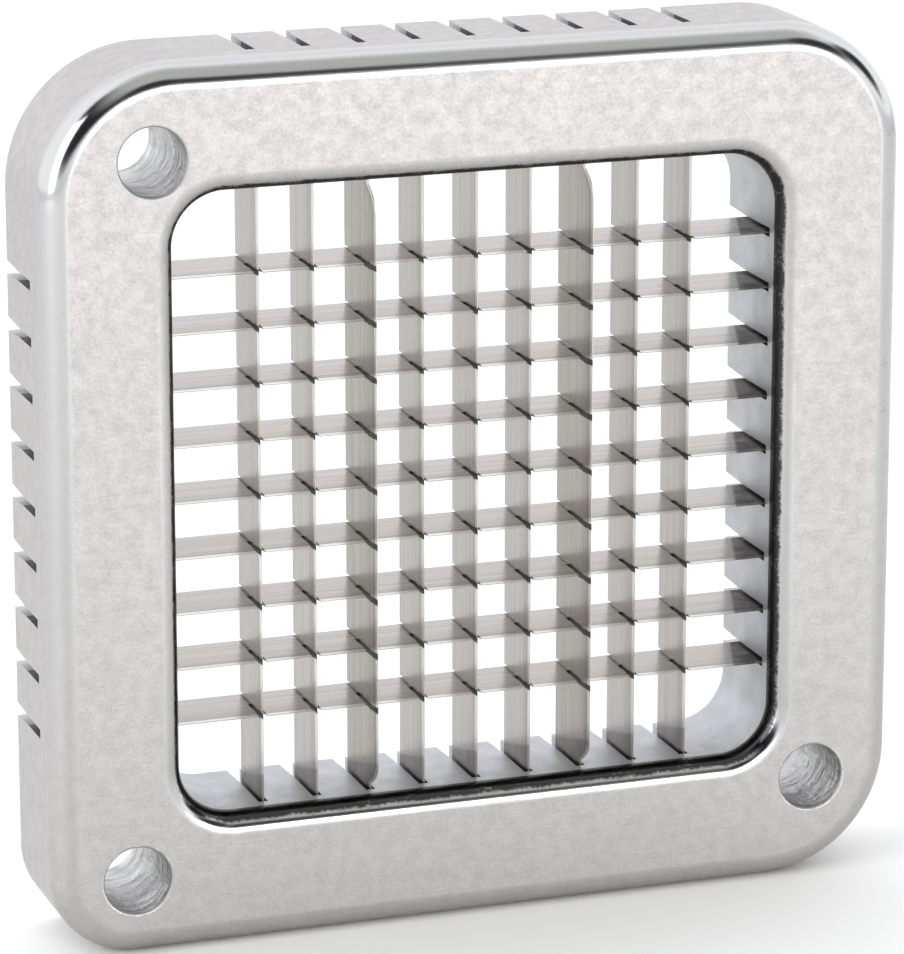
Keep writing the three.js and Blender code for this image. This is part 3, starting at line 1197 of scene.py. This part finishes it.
@dataclass
class Softbox:
    """A soft rectangular lamp that faces the cassette."""

    name: str
    azimuth: float
    elevation: float
    distance: float
    width: float
    height: float
    power: float
    colour: Colour = (1.0, 0.98, 0.965)

    def build(self, target: Vector) -> None:
        """Makes the lamp and turns it to the target."""
        light = bpy.data.lights.new(self.name, "AREA")
        light.shape = "RECTANGLE"
        light.size = self.width
        light.size_y = self.height
        light.energy = self.power
        light.color = self.colour
        away = direction(self.azimuth, self.elevation)
        set_up(self.name, light, target, away, self.distance).visible_camera = False


@dataclass(frozen=True)
class Shade:
    """A round panel that darkens the studio's pale room, given by angles in degrees."""

    azimuth: float
    elevation: float
    inner: float
    outer: float
    colour: Colour

    def add(self, graph: Graph, around: object, colour: object) -> Socket:
        """Draws the panel over the room.

        Args:
            graph: The world's node tree.
            around: The direction of view.
            colour: The room's colour so far.

        Returns:
            The room's colour with the panel in it.
        """
        vectors = {0: around, 1: direction(self.azimuth, self.elevation)}
        facing = graph.add("ShaderNodeVectorMath", vectors, operation="DOT_PRODUCT").outputs["Value"]
        edge, core = (math.cos(math.radians(angle)) for angle in (self.outer, self.inner))
        limits = {0: facing, 1: edge, 2: core}
        cover = graph.add("ShaderNodeMapRange", limits, interpolation_type="SMOOTHSTEP").outputs[0]
        return graph.mix(cover, colour, rgba(self.colour))


@dataclass
class Studio:
    """The pale floor, the lights and the camera."""

    azimuth: float = -19.354
    elevation: float = 15.326
    distance: float = 840.6 * MM
    aim: Vector = field(default_factory=lambda: Vector((-1.83, 0, 74.59)) * MM)
    lens: float = 187.65
    sensor: float = 36.0
    clip: tuple[float, float] = (0.05, 50.0)
    floor_size: float = 8.0
    floor_colour: Colour = (0.97, 0.97, 0.97)
    floor_roughness: float = 0.9
    room_light: Colour = (1.0, 1.01, 1.03)
    room_strength: float = 1.6
    shades: tuple[Shade, ...] = (
        Shade(-28, 35, 24, 40, (0.015, 0.015, 0.02)),
        Shade(20, 58, 12, 44, (0.5, 0.51, 0.48)),
        Shade(10, 28, 7, 18, (0.03, 0.03, 0.035)),
        Shade(40, 26, 8, 20, (0.03, 0.03, 0.035)),
        Shade(70, 20, 8, 20, (0.03, 0.03, 0.035)),
        Shade(165, 20, 25, 70, (0.86, 0.86, 0.89)),
    )
    softboxes: tuple[Softbox, ...] = (
        Softbox("tall_softbox", -62, 21, 1.2, 0.5, 0.85, 4.2),
        Softbox("low_softbox", 17, 5, 1.25, 0.85, 0.42, 4.5),
    )

    def build_camera(self) -> None:
        """Places the camera at its viewing angle."""
        camera = bpy.data.cameras.new("camera")
        camera.lens = self.lens
        camera.sensor_width = self.sensor
        camera.clip_start, camera.clip_end = self.clip
        away = direction(self.azimuth, self.elevation)
        bpy.context.scene.camera = set_up("camera", camera, self.aim, away, self.distance)

    def build_floor(self) -> None:
        """Lays the pale floor under the cassette."""
        bm = bmesh.new()
        bmesh.ops.create_grid(bm, x_segments=1, y_segments=1, size=self.floor_size / 2)
        floor = finish_mesh(bm, "floor")
        material = bpy.data.materials.new("pale_floor")
        material.use_nodes = True
        shader = material.node_tree.nodes["Principled BSDF"]
        shader.inputs["Base Color"].default_value = rgba(self.floor_colour)
        shader.inputs["Roughness"].default_value = self.floor_roughness
        floor.data.materials.append(material)

    def build_room(self) -> None:
        """Makes the room's own light: pale all round, with dark panels here and there."""
        world = bpy.data.worlds.new("studio")
        world.use_nodes = True
        graph = Graph(world.node_tree)
        around = graph.add("ShaderNodeTexCoord").outputs["Generated"]
        colour: object = rgba(self.room_light)
        for shade in self.shades:
            colour = shade.add(graph, around, colour)
        sky = graph.add("ShaderNodeBackground", {"Color": colour, "Strength": self.room_strength})
        graph.add("ShaderNodeOutputWorld", {"Surface": sky.outputs[0]})
        bpy.context.scene.world = world

    def build(self) -> None:
        """Sets up the whole studio."""
        self.build_camera()
        self.build_floor()
        self.build_room()
        for softbox in self.softboxes:
            softbox.build(self.aim)
        bpy.context.scene.view_settings.view_transform = "Standard"


# ---- assembly


def find_blades() -> list[Blade]:
    """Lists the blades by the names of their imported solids."""
    nodes = [node for node in sorted(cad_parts) if "blade" in node]
    return [Blade(node, "vertical" in node, node.startswith("tall")) for node in nodes]


def find_rods() -> list[Rod]:
    """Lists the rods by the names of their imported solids, each on a body of its own."""
    sides = {"left": True, "right": True, "top": False, "bottom": False}
    return [Rod(f"retaining_rod_{side}", up, body=f"rod_{side}") for side, up in sides.items()]


def steels(groups: Groups, grid: Grid) -> dict[str, Material]:
    """Makes the finishes of the blades and rods, by the names that main() asks for."""
    plain = {"light": (0.7, 0.71, 0.72), "dark": (0.55, 0.56, 0.57), "roughness": 0.25}
    upright = RolledSteel(
        "upright_blade_steel",
        True,
        grid,
        crossing_shade_strength=0.95,
        end_shade=0.4,
        end_reach=3.1 * MM,
        end_slant=0.27,
    )
    tall = {"light": (0.355, 0.332, 0.302), "dark": (0.286, 0.267, 0.242)}
    # The level blades get a darker copy of the same steel: painted shade for their upward-facing tops.
    level = {"light": (0.392, 0.369, 0.34), "dark": (0.315, 0.294, 0.269)}
    finishes = {
        "upright rod": RolledSteel("upright_rod_steel", True, **plain),
        "level rod": RolledSteel("level_rod_steel", False, **plain),
        "upright blade": upright,
        "tall blade": replace(upright, name="tall_blade_steel", **tall),
        "level blade": RolledSteel(
            "level_blade_steel", False, grid, crossing_shade_strength=0.6, end_shade=0.85, **level
        ),
    }
    return {use: finish.make(groups) for use, finish in finishes.items()}


def casting_finishes(groups: Groups) -> dict[Surface, Material]:
    """Makes the finish of each kind of surface on the casting."""
    # The deep parts of the sawn slots get a near-black copy of the wall's finish: painted shade.
    shadowed = MachinedWall("sawn_slot_painted_shade", (0.2, 0.2, 0.202), (0.1, 0.1, 0.102), (0.35, 0.35, 0.35))
    return {
        Surface.SKIN: TumbledCasting().make(groups),
        Surface.WALL: MachinedWall().make(groups),
        Surface.BORE: DrilledBore().make(groups),
        Surface.SLOT: shadowed.make(groups),
    }


def main() -> None:
    """Builds the cassette and its studio."""
    logging.basicConfig(level=logging.INFO, format="%(name)s: %(message)s")
    groups = Groups()
    blades = find_blades()
    rods = find_rods()
    casting = Casting()
    casting.build(blades, rods)
    casting.dress(casting_finishes(groups))
    casting.place()

    finishes = steels(groups, Grid.of(blades, casting.opening))
    opening_middle = middle(casting.box) + Vector((0, 0, casting.opening_rise))
    for blade in blades:
        crossed = [other for other in blades if other.upright != blade.upright]
        blade.build([other.middle for other in crossed], crossed[0].thickness, opening_middle)
        shape = "tall" if blade.tall else "upright" if blade.upright else "level"
        blade.dress(finishes[f"{shape} blade"])
        blade.place()

    for rod in rods:
        rod.build()
        rod.dress(finishes["upright rod" if rod.upright else "level rod"])
        rod.place()

    Studio().build()


if __name__ == "__main__":
    main()
